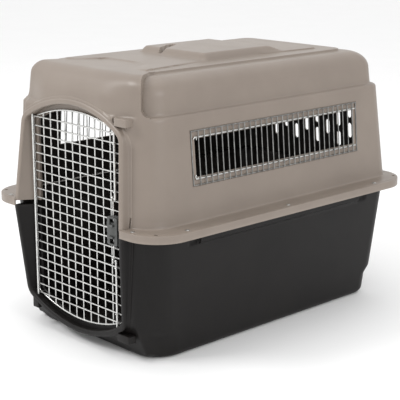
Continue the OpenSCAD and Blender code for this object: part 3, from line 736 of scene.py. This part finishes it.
def collar(name, sign, seam, material):
    """The collar's half above (sign 1) or below (-1) the seam, swept along the arch."""

    def wall_y(px, pz):
        if sign > 0:
            inward = wall_in(pz)
            back = corner_back(px, BODY_X - inward, FRONT_R - 0.2 * inward)
            return front_swell(px, pz, inward - BODY_Y + back)
        low = COLLAR_MID_Z - crown_reach(px) - 12
        part = np.clip((low + 18 - pz) / np.maximum(low + 8, 1), 0, 1)
        return np.where(pz < low + 18, -476.0 + 48.0 * part**1.1, -474.0)

    rows = []

    def add(line, y_of):
        pz = COLLAR_MID_Z + sign * line[:, 1]
        pz = np.maximum(pz, seam) if sign > 0 else np.minimum(pz, seam)
        rows.append(np.column_stack([line[:, 0], y_of(line[:, 0], pz), pz]))

    def fixed(value):
        return lambda px, pz: np.full(len(px), float(value))

    def at_face(back):
        return lambda px, pz: collar_face(pz) + back

    add(stop_line(6.0), fixed(-449.5))
    add(stop_line(0.6), fixed(-449.5))
    add(stop_line(0.0), fixed(-450.1))
    add(stop_line(0.0), fixed(-454.4))
    add(stop_line(0.6), fixed(-455.0))
    add(recess(-1.5), fixed(-455.2))
    add(recess(0.0), fixed(-456.6))
    inner, outer = recess(0.0), lip(0.0)
    for s in (0.08, 0.25, 0.45, 0.65, 0.85, 0.94):
        line = inner + (outer - inner) * s
        add(line, lambda px, pz, s=s: -457 + (collar_face(pz) + 2.5 + 457) * s)
    add(lip(-0.1), at_face(2.0))
    add(lip(0.5), at_face(0.9))
    add(lip(1.6), at_face(0.2))
    add(lip(3.0), at_face(0.0))
    add(lip(8.4), at_face(0.0))
    add(lip(9.8), at_face(0.3))
    add(lip(10.8), at_face(1.2))
    add(lip(11.2), at_face(2.4))
    for o, s in ((11.4, 0.35), (11.7, 0.7)):
        add(lip(o), lambda px, pz, s=s: collar_face(pz) + 2.4
            + s * np.maximum(wall_y(px, pz) - 3 - collar_face(pz) - 2.4, 0))
    add(lip(12.6), lambda px, pz: np.maximum(wall_y(px, pz) - 3.0, collar_face(pz) + 2.6))
    add(lip(14.5), lambda px, pz: np.maximum(wall_y(px, pz) - 0.8, collar_face(pz) + 2.6))
    add(lip(18.0), lambda px, pz: np.maximum(wall_y(px, pz) + 0.2, collar_face(pz) + 2.8))
    add(lip(20.0), lambda px, pz: np.maximum(wall_y(px, pz) + 3.5, collar_face(pz) + 6.0))
    cols = len(rows[0])
    quads = grid_faces(len(rows), cols, False)
    if sign < 0:
        quads = [q[::-1] for q in quads]
    made = new_object(name, np.concatenate(rows), quads, "root", material, 50)
    solid = made.modifiers.new("wall", "SOLIDIFY")
    solid.thickness = 2.4 * MM
    solid.offset = -1.0
    bake_modifiers(made, 50)
    return made


upper_collar = collar("door_surround_upper", 1, SEAM_Z, TAUPE)
lower_collar = collar("door_surround_lower", -1, SEAM_Z - 0.4, CHARCOAL)


def boss(name, x_range, z_range, material):
    """Squared lug with rounded edges on the door surround."""
    (left, right), (low, high) = x_range, z_range
    front = float(collar_face((low + high) / 2)) - 2.4
    rows, quads = prism([(left, low), (right, low), (right, high), (left, high)], "y", front, -456)
    made = new_object(name, rows, quads, "root", material, 50)
    round_off = made.modifiers.new("round", "BEVEL")
    round_off.width, round_off.segments = 2.4 * MM, 4
    bake_modifiers(made, 50)
    return made


LATCH_LUG_X, HINGE_FOOT_X = (179, 225), (-193, -168)
boss("upper_boss", LATCH_LUG_X, (617, 638), TAUPE)
boss("lower_boss", LATCH_LUG_X, (52, 73), CHARCOAL)
boss("hinge_foot_boss", HINGE_FOOT_X, (52, 83), CHARCOAL)

cut(upper_collar, upper_bore + slot)
cut(lower_collar, lower_bore)

# Rib along the seam on the inside of each side wall; its near-white colour is a painted highlight for the
# bright line of light along the seam.
RIB_Y = (-388, 200)
RIB_PROFILE = ((4.2, 4.2), (7.2, 4.8), (7.8, 6.4), (7.2, 8.0), (4.2, 8.4))
for side_name, side in (("left", -1), ("right", 1)):
    ys = np.linspace(*RIB_Y, 60)
    ends = 1.6 * (1 - smooth(0, 8, np.minimum(ys - RIB_Y[0], RIB_Y[1] - ys)))
    rib = []
    for inward, rise in RIB_PROFILE:
        inward_at = inward - ends * (inward > 5)
        rib.append(np.column_stack([side * (BODY_X - inward_at), ys, np.full(len(ys), SEAM_Z + rise)]))
    rib_faces = grid_faces(len(rib), len(ys), False)
    if side > 0:
        rib_faces = [f[::-1] for f in rib_faces]
    new_object(f"seam_highlight_rib_{side_name}", np.concatenate(rib), rib_faces, "root", SEAM_HIGHLIGHT, 50)

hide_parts("top_shell")
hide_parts("bottom_shell")


# ---------- stage, light and camera ----------


def flat_material(name, colour, rough):
    mat = bpy.data.materials.new(name)
    mat.use_nodes = True
    tree = mat.node_tree
    shader = tree.nodes["Principled BSDF"]
    place = tree.nodes.new("ShaderNodeTexCoord").outputs["Object"]
    low = tuple(c * 0.99 for c in colour)
    tree.links.new(ramp(tree, noise(tree, place, 3.0), low, colour), shader.inputs["Base Color"])
    shader.inputs["Roughness"].default_value = rough
    return mat


mesh = bpy.data.meshes.new("floor")
mesh.from_pydata([(-30, -30, 0), (30, -30, 0), (30, 30, 0), (-30, 30, 0)], [], [(0, 1, 2, 3)])
floor = bpy.data.objects.new("floor", mesh)
bpy.context.scene.collection.objects.link(floor)
mesh.materials.append(flat_material("pale_floor", (0.93, 0.93, 0.93), 0.7))


def area_light(name, place, target, size, watts, colour=(1, 1, 1)):
    data = bpy.data.lights.new(name, "AREA")
    data.shape = "RECTANGLE"
    data.size, data.size_y = size
    data.energy = watts
    data.color = colour
    obj = bpy.data.objects.new(name, data)
    obj.location = place
    obj.rotation_euler = (Vector(target) - Vector(place)).to_track_quat("-Z", "Y").to_euler()
    bpy.context.scene.collection.objects.link(obj)


area_light("key", (-1.6, -3.2, 3.4), (0, 0, 0.4), (1.6, 1.2), 85)
area_light("fill", (3.6, -0.6, 2.0), (0, 0, 0.4), (1.2, 1.2), 30)
area_light("top", (0.0, 0.4, 3.6), (0, 0, 0.4), (3.0, 3.0), 20)
world = bpy.data.worlds.new("world")
bpy.context.scene.world = world
world.use_nodes = True
world.node_tree.nodes["Background"].inputs["Color"].default_value = (1, 1, 1, 1)
world.node_tree.nodes["Background"].inputs["Strength"].default_value = 1.0

camera_data = bpy.data.cameras.new("camera")
camera = bpy.data.objects.new("camera", camera_data)
bpy.context.scene.collection.objects.link(camera)
camera.location = (2.38465, -2.26789, 1.14936)
camera.rotation_euler = (math.radians(90 - 14.11), 0, math.radians(46.67))
camera_data.sensor_width = 36.0
camera_data.lens = 104.66
camera_data.shift_y = -0.00875
bpy.context.scene.camera = camera
bpy.context.scene.view_settings.view_transform = "Standard"
